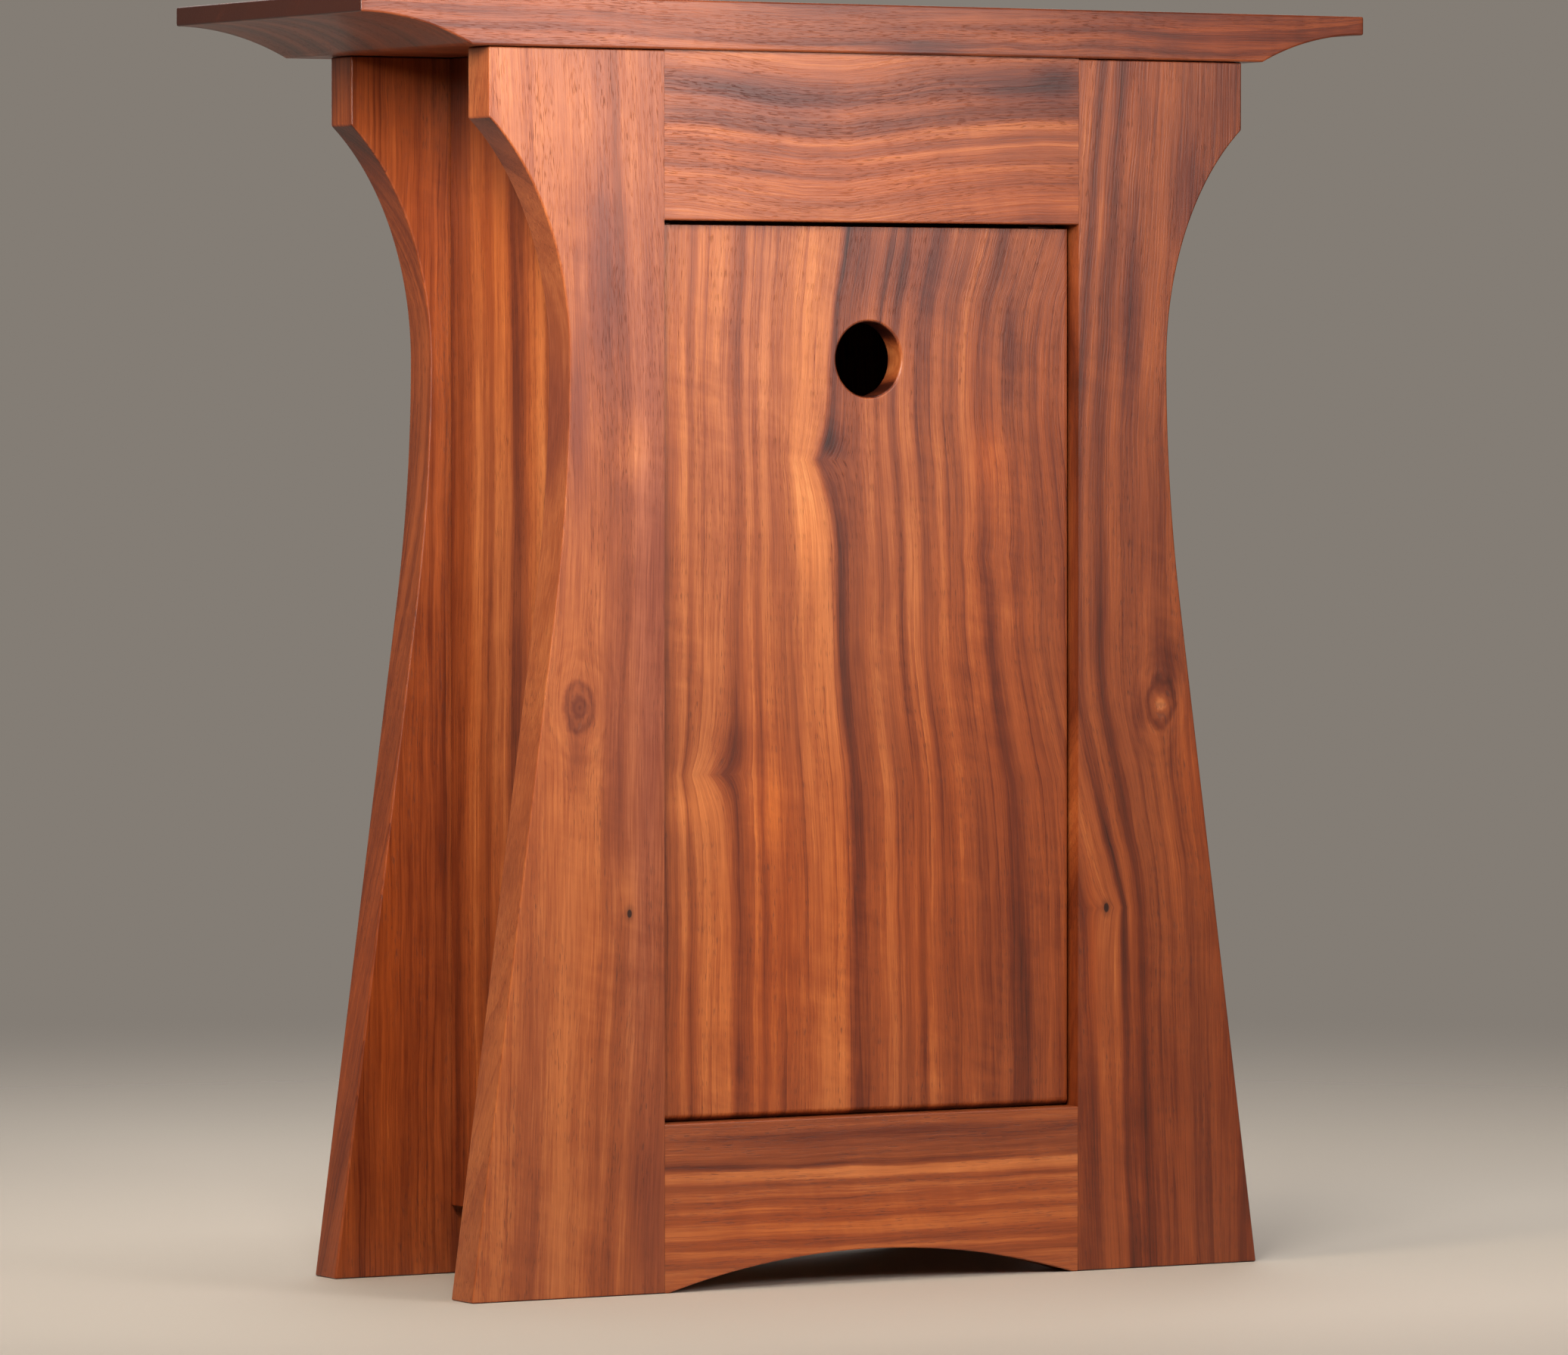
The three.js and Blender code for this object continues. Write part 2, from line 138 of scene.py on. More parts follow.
def add_light(name, place, target, size, power, colour, spread=180):
    """A rectangular lamp that the camera doesn't see. Its spread is in degrees."""
    data = bpy.data.lights.new(name, "AREA")
    data.spread = math.radians(spread)
    data.shape = "RECTANGLE"
    data.size, data.size_y = size
    data.energy = power
    data.color = colour
    light = bpy.data.objects.new(name, data)
    bpy.context.scene.collection.objects.link(light)
    light.location = place
    aim = Vector(target) - Vector(place)
    light.rotation_euler = aim.to_track_quat("-Z", "Y").to_euler()
    light.visible_camera = False


# ---- Shader maths ----

class Socket:
    """An output socket of a material. Arithmetic on it adds Math nodes."""

    def __init__(self, tree, output=None):
        self.tree = tree
        self.output = output

    def add(self, kind, settings=None, inputs=None, output=0):
        """Adds any node: its settings first, then the values or links of its sockets."""
        node = self.tree.nodes.new(kind)
        for name, value in (settings or {}).items():
            if name == "stops":
                self.set_stops(node.color_ramp.elements, value)
            elif name == "curve":
                node.color_ramp.interpolation = value
            else:
                setattr(node, name, value)
        for key, value in (inputs or {}).items():
            if isinstance(value, Socket):
                self.tree.links.new(value.output, node.inputs[key])
            else:
                node.inputs[key].default_value = value
        return Socket(self.tree, node.outputs[output] if node.outputs else None)

    @staticmethod
    def set_stops(elements, stops):
        while len(elements) < len(stops):
            elements.new(1.0)
        for element, (place, colour) in zip(elements, stops):
            element.position = place
            element.color = (*colour, 1)

    def math(self, operation, *values):
        return self.add("ShaderNodeMath", {"operation": operation}, dict(enumerate(values)))

    def __add__(self, other):
        return self.math("ADD", self, other)

    def __radd__(self, other):
        return self.math("ADD", other, self)

    def __sub__(self, other):
        return self.math("SUBTRACT", self, other)

    def __rsub__(self, other):
        return self.math("SUBTRACT", other, self)

    def __mul__(self, other):
        return self.math("MULTIPLY", self, other)

    def __rmul__(self, other):
        return self.math("MULTIPLY", other, self)

    def __truediv__(self, other):
        return self.math("DIVIDE", self, other)

    def __pow__(self, other):
        return self.math("POWER", self, other)

    def __neg__(self):
        return self.math("MULTIPLY", self, -1.0)

    def clamp(self, low=0.0, high=1.0):
        return self.math("MINIMUM", self.math("MAXIMUM", self, low), high)

    def magnitude(self):
        return self.math("ABSOLUTE", self)

    def fraction(self):
        return self.math("FRACT", self)

    def sine(self):
        return self.math("SINE", self)

    def fade(self):
        """1 where this is 0, falling to nothing as it grows."""
        return self.math("EXPONENT", -self)

    def step(self, low, high):
        """Rises smoothly from 0 at low to 1 at high, or falls where low is above high."""
        settings = {"interpolation_type": "SMOOTHSTEP"}
        return self.add("ShaderNodeMapRange", settings, {0: self, 1: low, 2: high, 3: 0.0, 4: 1.0})

    def profile(self, points):
        """A smooth curve over this socket, through (place, value) points."""
        first, last = points[0][0], points[-1][0]
        low = min(value for _, value in points)
        span = max(value for _, value in points) - low
        stops = [((place - first) / (last - first), ((value - low) / span,) * 3)
                 for place, value in points]
        level = (self - first) / (last - first)
        settings = {"curve": "CARDINAL", "stops": stops}
        return self.add("ShaderNodeValToRGB", settings, {0: level}) * span + low

    def cloud(self, x, y, z, detail=1.0, roughness=0.5):
        """Soft noise about 0, running from roughly -1 to 1.

        Each of x, y and z is a distance over the size of the noise's shapes that way.
        """
        vector = self.add("ShaderNodeCombineXYZ", {}, {0: x, 1: y, 2: z})
        inputs = {"Vector": vector, "Scale": 1.0, "Detail": detail, "Roughness": roughness}
        return (self.add("ShaderNodeTexNoise", {}, inputs) - 0.5) * 3.0

    def blend(self, colour_a, colour_b, blend_type="MIX"):
        """Mixes two colours, with this socket as the factor."""
        settings = {"data_type": "RGBA", "blend_type": blend_type}
        return self.add("ShaderNodeMix", settings, {0: self, 6: colour_a, 7: colour_b}, 2)


def new_material(name):
    material = bpy.data.materials.new(name)
    material.use_nodes = True
    tree = material.node_tree
    tree.nodes.clear()
    return material, Socket(tree)


def close_material(nodes, base, roughness, settings, bump=None, bump_strength=0.2):
    """Ends a material with a Principled shader and, if asked, a fine bump."""
    inputs = {"Base Color": base, "Roughness": roughness, **settings}
    if bump is not None:
        inputs["Normal"] = nodes.add("ShaderNodeBump", {}, {
            "Strength": bump_strength, "Distance": 0.0003, "Height": bump})
    shader = nodes.add("ShaderNodeBsdfPrincipled", {}, inputs)
    nodes.add("ShaderNodeOutputMaterial", {}, {"Surface": shader})


def srgb(red, green, blue):
    """A colour given on the usual 0 to 255 scale, made linear."""
    return tuple((c / 255 / 12.92) if c < 10.3 else ((c / 255 + 0.055) / 1.055) ** 2.4
                 for c in (red, green, blue))


def board_axes(nodes, node, axes):
    """Millimetres along the grain, across the face and into the board.

    They start at the middle of the board, or at its face on the door side for a depth in Y.
    """
    low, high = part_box(node)
    start = (low + high) / 2
    if axes[2] == "Y":
        start.y = low.y
    place = nodes.add("ShaderNodeTexCoord", {}, {}, "Object")
    parts = {axis: nodes.add("ShaderNodeSeparateXYZ", {}, {0: place}, axis) for axis in "XYZ"}
    return [(parts[axis] - start["XYZ".index(axis)]) / MM for axis in axes]


# ---- Walnut ----

WALNUT_STOPS = (
    (0.00, srgb(58, 22, 11)),
    (0.25, srgb(110, 48, 23)),
    (0.50, srgb(154, 78, 39)),
    (0.75, srgb(199, 117, 64)),
    (1.00, srgb(236, 160, 98)),
)
EMBER = (*srgb(255, 226, 176), 1)      # multiplies the warm areas
PLUM = (*srgb(214, 206, 250), 1)       # multiplies the greyish purple ones
PORE = (*srgb(60, 27, 17), 1)
BARK = (*srgb(30, 13, 9), 1)

# how much each part of the figure changes a tone that runs from dark 0 to light 1
# end grain is darker, and this strength also paints shade on the downward-facing curves under the ears
END_GRAIN_AND_SHADE = 0.42           # where the grain is cut across
HAIR_DARK = 0.14          # hairlines between the growth rings
FIBRES = 0.09
MOTTLE = 0.07             # soft blotches
KNOT_RINGS = 0.08
KNOT_RIM = 0.12
KNOT_HALO = 0.04

# places in a knot, by the distance from its middle, where 1 is its edge
RINGS_FADE = 1.7
RIM_AT = 1.15
HALO_AT = 2.0
RING_TURNS = 8.5          # how closely the rings follow each other

BAND_SWING = 0.55         # how much a band's strength comes and goes along it
PORE_COVER = 0.5
HAIR_GAP = 2.6            # millimetres between hairlines
STRAY = 0.35              # millimetres that the finest lines wander sideways
SLANT = 0.3               # lean of the curly ripples across the board
OILED = 0.36              # roughness of the oiled face


def oval(u, v, along, side, long, wide):
    """Squared distance from a place, which is 1 at the rim of an oval round it."""
    return ((u - along) / long) ** 2.0 + ((v - side) / wide) ** 2.0


def follow_grain(nodes, u, v, w, face, seed, eyes,
                 drift=None, spread=0.0, cusps=(), swirl=3.0, sway=0.8, bow=0.0):
    """The warped distance across a board that all its grain lines follow, in millimetres.

    drift moves the lines sideways, through (along, distance) points, and spread makes that
    grow from one edge to the other. Each cusp is (along, across, length, width, push) and
    pulls the lines to a point. swirl, sway and bow bend them widely, closely and as one.
    """
    across = face
    if drift:
        across = across - u.profile(drift) * (v * spread + 1.0)
    for along, side, long, wide, push in cusps:
        pull = (u - along).magnitude() / long + ((v - side) / wide) ** 2.0
        across = across + pull.fade() * push
    for along, side, long, wide, push, _ in eyes:
        bend = oval(u, v, along, side, long * 2.2, wide * 1.7)
        across = across - (v - side) * bend.fade() * push
    across = across + nodes.cloud(u / 150 + seed, v / 55, w / 55) * swirl
    across = across + nodes.cloud(u / 42 + seed, v / 18, w / 18 + 7.7) * sway
    across = across + nodes.cloud(u / 15 + seed, v / 2.5, w / 5 + 3.3, 2.0, 0.6) * STRAY
    if bow:
        across = across + (u / 100.0) ** 2.0 * bow
    return across


def growth_rings(nodes, u, across, ring, seed):
    """Growth rings, each of which darkens slowly and ends at once."""
    uneven = across / ring + nodes.cloud(across / (ring * 3.5) + seed, 0.0, u / 900) * 1.3
    strength = nodes.cloud(u / 160, across / 14, seed + 3.1).step(-0.5, 0.9)
    return uneven.fraction() ** 4.0 * strength


def hairlines(nodes, u, across, seed):
    """Finer lines of the same kind, which come and go along the board."""
    uneven = across / HAIR_GAP + nodes.cloud(across / 6.0, u / 500, seed + 61.0) * 1.6
    strength = nodes.cloud(u / 110, across / 5, seed + 67.0).step(-0.2, 0.9)
    return uneven.fraction() ** 5.0 * strength


def knot_tone(nodes, u, v, eye, seed):
    """A knot's change of tone: faint rings, a core, a dark rim and a pale halo."""
    along, side, long, wide, _, lift = eye
    rough_edge = nodes.cloud(u / 7, v / 5, seed, 3.0, 0.6) * 0.35
    reach = oval(u, v, along, side, long, wide) ** 0.5 + rough_edge
    rings = (reach * RING_TURNS).sine() * (reach / RINGS_FADE).fade()
    core = reach.step(0.9, 0.2)
    rim = ((reach - RIM_AT) ** 2.0 * 8.0).fade()
    halo = ((reach - HALO_AT) ** 2.0 * 6.0).fade()
    return rings * KNOT_RINGS + core * lift - rim * KNOT_RIM + halo * KNOT_HALO


def cut_end(nodes, axis):
    """1 on the ends of a board, where its grain is cut across, and 0 along it."""
    turned = nodes.add("ShaderNodeTexCoord", {}, {}, "Normal")
    facing = nodes.add("ShaderNodeSeparateXYZ", {}, {0: turned}, axis) ** 2.0
    return facing.step(0.02, 0.6)


def walnut(node, axes, bands=None, eyes=(), pins=(), figure_and_painted_light=(), depth=0.8, tilt=0.25, ring=8.0,
           ring_depth=0.16, zone=0.05, streak=0.17, figure=0.06, tone=0.0, warmth=0.0, seed=0.0,
           **lines):
    """Oiled walnut cut from one solid grain, so that faces and edges of a board agree.

    All lengths are in millimetres, and tilt is the slope of the grain into the board.
    bands gives a tone against the distance across, and depth says how strongly it shows.
    Each eye is a knot as (along, across, length, width, push on the lines, lift of its core).
    Each pin is a small dark knot as (along, across, size). Each spot is a soft area as
    (along, across, length, width, change of tone, change of warmth); most spots are the
    wood's own figure, and some are painted light: a painted sheen or painted shade.
    lines says how the grain lines run, and goes to follow_grain.
    """
    material, nodes = new_material("walnut_" + node)
    u, v, w = board_axes(nodes, node, axes)
    face = v + w * tilt
    across = follow_grain(nodes, u, v, w, face, seed, eyes, **lines)

    level = nodes.cloud(across / 24, u / 480, seed + 11.3) * zone + (0.5 + tone)
    if bands:
        swing = nodes.cloud(u / 110, across / 12, seed + 41.0, 2.0) * BAND_SWING + 0.95
        level = level + (across.profile(bands) - 0.5) * swing.clamp(0.1, 1.6) * depth
    streaks = nodes.cloud(across / 5.5, u / 240, seed + 5.9, 4.0, 0.68)
    fibres = nodes.cloud(across / 0.62, u / 30, w / 0.7 + seed, 1.0)
    pores = nodes.cloud(across / 0.34, u / 5.0, w / 0.4 + seed, 0.0).step(0.40, 0.75)
    pores = pores * nodes.cloud(u / 70, across / 9, seed + 51.0).step(-0.7, 0.7)
    ripple = nodes.cloud((u + v * SLANT) / 10.0, v / 30, w / 40 + seed, 3.0, 0.62)
    patch = nodes.cloud(u / 80, v / 40, seed + 21.0).step(-0.3, 0.8)
    mottle = nodes.cloud(u / 38, v / 13, w / 20 + seed + 71.0, 3.0, 0.6)
    level = (level + streaks * streak + fibres * FIBRES + mottle * MOTTLE
             - growth_rings(nodes, u, across, ring, seed) * ring_depth
             - hairlines(nodes, u, across, seed) * HAIR_DARK
             + ripple * (patch + 0.25) * figure)
    warm = nodes.cloud(across / 30, u / 220, seed + 31.0) * 0.5 + warmth
    # each spot changes tone and warmth: most are the wood's figure, some are painted sheen or painted
    # shade
    for along, side, long, wide, lift, heat in figure_and_painted_light:
        glow = oval(u, face, along, side, long, wide).fade()
        level = level + glow * lift
        if heat:
            warm = warm + glow * heat
    # darker end grain, partly painted shade where the curves under the ears face down
    level = level - cut_end(nodes, axes[0]) * END_GRAIN_AND_SHADE
    for eye in eyes:
        level = level + knot_tone(nodes, u, v, eye, seed)

    base = nodes.add("ShaderNodeValToRGB", {"stops": WALNUT_STOPS}, {0: level.clamp()})
    base = warm.clamp().blend(base, EMBER, "MULTIPLY")
    base = (-warm).clamp().blend(base, PLUM, "MULTIPLY")
    base = (pores * PORE_COVER).blend(base, PORE)
    for along, side, size in pins:
        reach = oval(u, v, along, side, size * 1.6, size) ** 0.5
        base = (reach.step(2.6, 0.8) * 0.4).blend(base, PORE)
        base = (reach.step(1.1, 0.7) * 0.9).blend(base, BARK)
    roughness = streaks * -0.03 + pores * 0.2 + OILED
    close_material(nodes, base, roughness, {
        "Specular IOR Level": 0.42, "Coat Weight": 0.05, "Coat Roughness": 0.25,
    }, fibres * 0.3 - pores, 0.25)
    return material


# ---- Other finishes ----

MAPLE_STOPS = ((0.0, srgb(176, 136, 92)), (0.5, srgb(208, 172, 124)), (1.0, srgb(228, 200, 156)))
FLECK = (*srgb(150, 104, 66), 1)
BRASS_DULL, BRASS_BRIGHT = (*srgb(120, 92, 44), 1), (*srgb(196, 158, 84), 1)
STEEL_DULL, STEEL_BRIGHT = (*srgb(116, 116, 118), 1), (*srgb(178, 178, 180), 1)


def maple(node, axes, seed):
    """Pale maple: close grain, faint rings and short brown flecks."""
    material, nodes = new_material("maple_" + node)
    u, v, w = board_axes(nodes, node, axes)
    across = v + w * 0.4 + nodes.cloud(u / 120 + seed, v / 40, w / 40) * 5.0
    rings = nodes.cloud(across / 5.0, u / 260, seed, 2.0)
    fibres = nodes.cloud(across / 0.5, u / 22, w / 0.6 + seed)
    flecks = nodes.cloud(across / 0.5, u / 2.5, w / 0.5 + seed, 0.0).step(0.55, 0.85)
    level = (rings * 0.22 + fibres * 0.16 + 0.5).clamp()
    base = nodes.add("ShaderNodeValToRGB", {"stops": MAPLE_STOPS}, {0: level})
    base = (flecks * 0.35).blend(base, FLECK)
    close_material(nodes, base, 0.55 + fibres * 0.04, {"Specular IOR Level": 0.4}, fibres, 0.2)
    return material


def turned_metal(name, dull_colour, bright_colour, roughness):
    """Metal with fine turning marks round its length and a little dulling."""
    material, nodes = new_material(name)
    place = nodes.add("ShaderNodeTexCoord", {}, {}, "Object")
    x, y, z = (nodes.add("ShaderNodeSeparateXYZ", {}, {0: place}, axis) / MM for axis in "XYZ")
    marks = nodes.cloud(x / 0.12, y / 4, z / 4)
    dull = nodes.cloud(x / 3, y / 3, z / 3, 3.0).step(-0.4, 0.8)
    base = dull.blend(bright_colour, dull_colour)
    rough = marks * 0.05 + dull * 0.12 + roughness
    close_material(nodes, base, rough, {"Metallic": 1.0}, marks, 0.1)
    return material


# ---- Modelling ----

def start_edit(piece):
    """Opens one piece for editing, with nothing in it selected."""
    bpy.ops.object.select_all(action="DESELECT")
    piece.select_set(True)
    bpy.context.view_layer.objects.active = piece
    bpy.ops.object.mode_set(mode="EDIT")
    bpy.ops.mesh.select_mode(type="EDGE")
    bpy.ops.mesh.select_all(action="DESELECT")


def end_edit():
    bpy.ops.object.mode_set(mode="OBJECT")


def settle(name):
    """Names the new primitive and moves its place and size into its mesh."""
    piece = bpy.context.active_object
    piece.name = name
    bpy.ops.object.transform_apply(location=True, rotation=True, scale=True)
    return piece


def start_block(name, low, high):
    """A plain block between two corners."""
    bpy.ops.object.select_all(action="DESELECT")
    low, high = Vector(low), Vector(high)
    bpy.ops.mesh.primitive_cube_add(size=1, location=(low + high) / 2)
    bpy.context.active_object.scale = high - low
    return settle(name)


def start_rod(name, centre, axis, radius, length, facets=ROD_STEPS):
    """A plain rod along one axis."""
    bpy.ops.object.select_all(action="DESELECT")
    turn = {"X": (0, math.pi / 2, 0), "Y": (math.pi / 2, 0, 0), "Z": (0, 0, 0)}[axis]
    bpy.ops.mesh.primitive_cylinder_add(
        vertices=facets, radius=radius, depth=length, location=centre, rotation=turn)
    return settle(name)


def slice_across(piece, axis, places):
    """Cuts the whole piece at each place on an axis, without parting it."""
    start_edit(piece)
    for place in places:
        bpy.ops.mesh.select_all(action="SELECT")
        point, normal = [0, 0, 0], [0, 0, 0]
        point[axis], normal[axis] = place, 1
        bpy.ops.mesh.bisect(plane_co=point, plane_no=normal, threshold=1e-6)
    end_edit()


def move_corners(piece, test, offset):
    """Moves the corners that pass a test on their place."""
    start_edit(piece)
    bpy.ops.mesh.select_mode(type="VERT")
    mesh = bmesh.from_edit_mesh(piece.data)
    for corner in mesh.verts:
        corner.select_set(test(corner.co))
    mesh.select_flush(True)
    bmesh.update_edit_mesh(piece.data)
    bpy.ops.transform.translate(value=offset)
    end_edit()


def ease(piece, test, width, steps=EASE_STEPS):
    """Rounds the sharp edges whose two ends pass a test on their places."""
    start_edit(piece)
    mesh = bmesh.from_edit_mesh(piece.data)
    for edge in mesh.edges:
        sharp = len(edge.link_faces) == 2 and edge.calc_face_angle(0) > SHARP
        edge.select_set(sharp and test(*(corner.co for corner in edge.verts)))
    bmesh.update_edit_mesh(piece.data)
    bpy.ops.mesh.bevel(offset=width, segments=steps, profile=0.5, affect="EDGES")
    end_edit()


def use_modifier(piece, kind, **settings):
    """Adds a modifier to a piece and applies it."""
    bpy.ops.object.select_all(action="DESELECT")
    piece.select_set(True)
    bpy.context.view_layer.objects.active = piece
    modifier = piece.modifiers.new(kind.lower(), kind)
    for name, value in settings.items():
        setattr(modifier, name, value)
    bpy.ops.object.modifier_apply(modifier=modifier.name)


def cut(piece, cutter):
    """Cuts one piece out of another and throws the cutter away."""
    use_modifier(piece, "BOOLEAN", operation="DIFFERENCE", solver="EXACT", object=cutter)
    bpy.data.objects.remove(cutter)


def finish_piece(piece, body, slot, material, *nodes):
    """Smooths a piece, gives it its finish, hangs it on its body and hides its CAD nodes."""
    bpy.ops.object.select_all(action="DESELECT")
    piece.select_set(True)
    bpy.context.view_layer.objects.active = piece
    bpy.ops.object.shade_smooth_by_angle(angle=SMOOTH)
    use_modifier(piece, "WEIGHTED_NORMAL", keep_sharp=True)
    piece.data.materials.clear()
    piece.data.materials.append(material)
    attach(piece, body)
    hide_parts(*nodes)


def cut_slot(piece, node):
    """Cuts the slot that a square piece sits in."""
    low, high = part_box(node)
    spare = Vector((FIT, FIT, FIT))
    cut(piece, start_block("cutter", low - spare, high + spare))


def cut_bore(piece, node, axis):
    """Cuts the hole that a round piece sits in."""
    low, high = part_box(node)
    along = "XYZ".index(axis)
    radius = (high[(along + 1) % 3] - low[(along + 1) % 3]) / 2 + FIT
    length = high[along] - low[along] + 2 * FIT
    cut(piece, start_rod("cutter", (low + high) / 2, axis, radius, length))


def near(value, place, reach=0.01 * MM):
    """Whether two lengths agree."""
    return abs(value - place) < reach


# ---- Frames ----

# a stile rises straight from its foot and joins the arc to the waist at this lean
LEG_OFFSET = WAIST_WIDTH + LEG_RADIUS - FOOT_WIDTH
LEG_LEAN = (math.atan2(WAIST_HEIGHT, LEG_OFFSET)
            - math.acos(LEG_RADIUS / math.hypot(LEG_OFFSET, WAIST_HEIGHT)))
EAR_REACH = math.asin((EAR_LOW - WAIST_HEIGHT) / EAR_SWEEP)


def stile_steps():
    """Heights and widths up a stile's curved edge: an arc to the waist, then an elliptic ear."""
    steps = []
    for i in range(LEG_STEPS + 1):
        angle = LEG_LEAN * (1 - i / LEG_STEPS)
        width = WAIST_WIDTH + LEG_RADIUS * (1 - math.cos(angle))
        steps.append((WAIST_HEIGHT - LEG_RADIUS * math.sin(angle), width))
    depth = (EAR_WIDTH - WAIST_WIDTH) / (1 - math.cos(EAR_REACH))
    for i in range(1, EAR_STEPS + 1):
        angle = EAR_REACH * i / EAR_STEPS
        width = WAIST_WIDTH + depth * (1 - math.cos(angle))
        steps.append((WAIST_HEIGHT + EAR_SWEEP * math.sin(angle), width))
    return steps


def cut_groove(piece):
    """Cuts the groove round the opening that holds the fixed panel's tongue."""
    low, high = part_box("front_panel")
    spare = GROOVE_DEPTH - TONGUE_REACH
    middle_y = (low.y + high.y) / 2
    cut(piece, start_block(
        "cutter", (low.x - spare, middle_y - GROOVE_HALF, low.z - spare),
        (high.x + spare, middle_y + GROOVE_HALF, high.z + spare)))


def make_stile(label, name, side, material):
    """A flared upright. Its curved edge faces outwards, and its straight one the opening."""
    node = f"{label}_stile_{name}"
    low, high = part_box(node)
    inner = low.x if side > 0 else high.x
    piece = start_block("shaped_" + node, low, high)
    steps = stile_steps()
    slice_across(piece, 2, [height for height, _ in steps])
    for height, width in [*steps, (high.z, EAR_WIDTH)]:
        move_corners(
            piece,
            lambda co: near(co.z, height) and abs(co.x - inner) > FOOT_WIDTH / 2,
            (side * (width - FOOT_WIDTH), 0, 0),
        )
    ease(piece, lambda a, b: not (near(a.x, inner) and near(b.x, inner)), ARRIS)
    for place in ("top", "bottom"):
        cut_slot(piece, f"{label}_{place}_tenon_{name}")
    for number in DOWELS:
        cut_bore(piece, f"{label}_dowel_{name}_{number}", "Y")
    if label == "back":
        cut_bore(piece, "pivot_pin_" + name, "X")
    else:
        cut_groove(piece)
    finish_piece(piece, "case", "walnut_vertical", material, node)


def finish_rail(piece, label, place, material):
    """Cuts a rail's tenon slots and, in the fixed panel's frame, its groove."""
    for name, _ in SIDES:
        cut_slot(piece, f"{label}_{place}_tenon_{name}")
    if label == "front":
        cut_groove(piece)
    finish_piece(piece, "case", "walnut_horizontal", material, f"{label}_{place}_rail")


def make_top_rail(label, material):
    """A straight rail, eased along the opening."""
    node = label + "_top_rail"
    low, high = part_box(node)
    piece = start_block("shaped_" + node, low, high)
    ease(piece, lambda a, b: near(a.z, low.z) and near(b.z, low.z) and near(a.y, b.y), DOOR_ARRIS)
    finish_rail(piece, label, "top", material)


def make_bottom_rail(label, material):
    """A rail with a low arch cut in its lower edge."""
    node = label + "_bottom_rail"
    low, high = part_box(node)
    piece = start_block("shaped_" + node, low, high)
    radius = (ARCH_HALF ** 2 + ARCH_RISE ** 2) / (2 * ARCH_RISE)
    spread = math.asin(ARCH_HALF / radius)
    places = [radius * math.sin(spread * (2 * i / ARCH_STEPS - 1)) for i in range(ARCH_STEPS + 1)]
    slice_across(piece, 0, places)
    for x in places[1:-1]:
        rise = ARCH_RISE - radius + math.sqrt(radius ** 2 - x ** 2)
        move_corners(piece, lambda co: near(co.x, x) and near(co.z, low.z), (0, 0, rise))
    ease(piece, lambda a, b: near(a.y, b.y) and not near(a.x, b.x), DOOR_ARRIS)
    finish_rail(piece, label, "bottom", material)


# ---- Top ----

def make_top(material):
    """The top board: a cove under each end, and blind holes for the screws."""
    low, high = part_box("top_board")
    piece = start_block("shaped_top_board", low, high)
    run = high.x - COVE_START
    rise = high.z - low.z - TOP_TIP
    radius = (run ** 2 + rise ** 2) / (2 * rise)
    spread = math.asin(run / radius)
    places = [high.x - radius * math.sin(spread * i / COVE_STEPS) for i in range(1, COVE_STEPS + 1)]
    slice_across(piece, 0, [*places, *(-x for x in places)])
    for x in [high.x, *places[:-1]]:
        lift = rise - radius + math.sqrt(radius ** 2 - (high.x - x) ** 2)
        move_corners(piece, lambda co: near(abs(co.x), x) and near(co.z, low.z), (0, 0, lift))
    ease(piece, lambda a, b: True, ARRIS)
    for number in SCREWS:
        screw_low, screw_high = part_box(f"top_screw_{number}")
        centre = (screw_low + screw_high) / 2
        depth = screw_high.z - low.z + FIT
        centre.z = low.z + (depth - OVERRUN) / 2
        cut(piece, start_rod("cutter", centre, "Z", SHANK_RADIUS + FIT, depth + OVERRUN))
    finish_piece(piece, "case", "walnut_top", material, "top_board")


# ---- Panels ----

def make_door(material):
    """The drop-front door: its lower front edge is rounded about the pins it turns on."""
    low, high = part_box("door_panel")
    piece = start_block("shaped_door_panel", low, high)
    ease(piece, lambda a, b: near(a.y, low.y) and near(b.y, low.y) and near(a.z, low.z)
         and near(b.z, low.z), PIVOT_INSET, NOSE_STEPS)
    hole = Vector((FINGER_X, (low.y + high.y) / 2, FINGER_HEIGHT))
    cut(piece, start_rod("cutter", hole, "Y", FINGER_RADIUS, PASS_THROUGH, HOLE_STEPS))
    ease(piece, lambda a, b: all(near((co - hole).xz.length, FINGER_RADIUS, 0.1 * MM)
                                 for co in (a, b)), RIM_ARRIS)
    ease(piece, lambda a, b: near(a.y, b.y) and (near(a.y, low.y) or near(a.y, high.y))
         and all(near(abs(co.x), high.x) or near(co.z, high.z) for co in (a, b)), DOOR_ARRIS)
    for name, _ in SIDES:
        cut_bore(piece, "door_magnet_" + name, "Y")
        cut_bore(piece, "pivot_pin_" + name, "X")
    finish_piece(piece, "door", "walnut_panel", material, "door_panel")


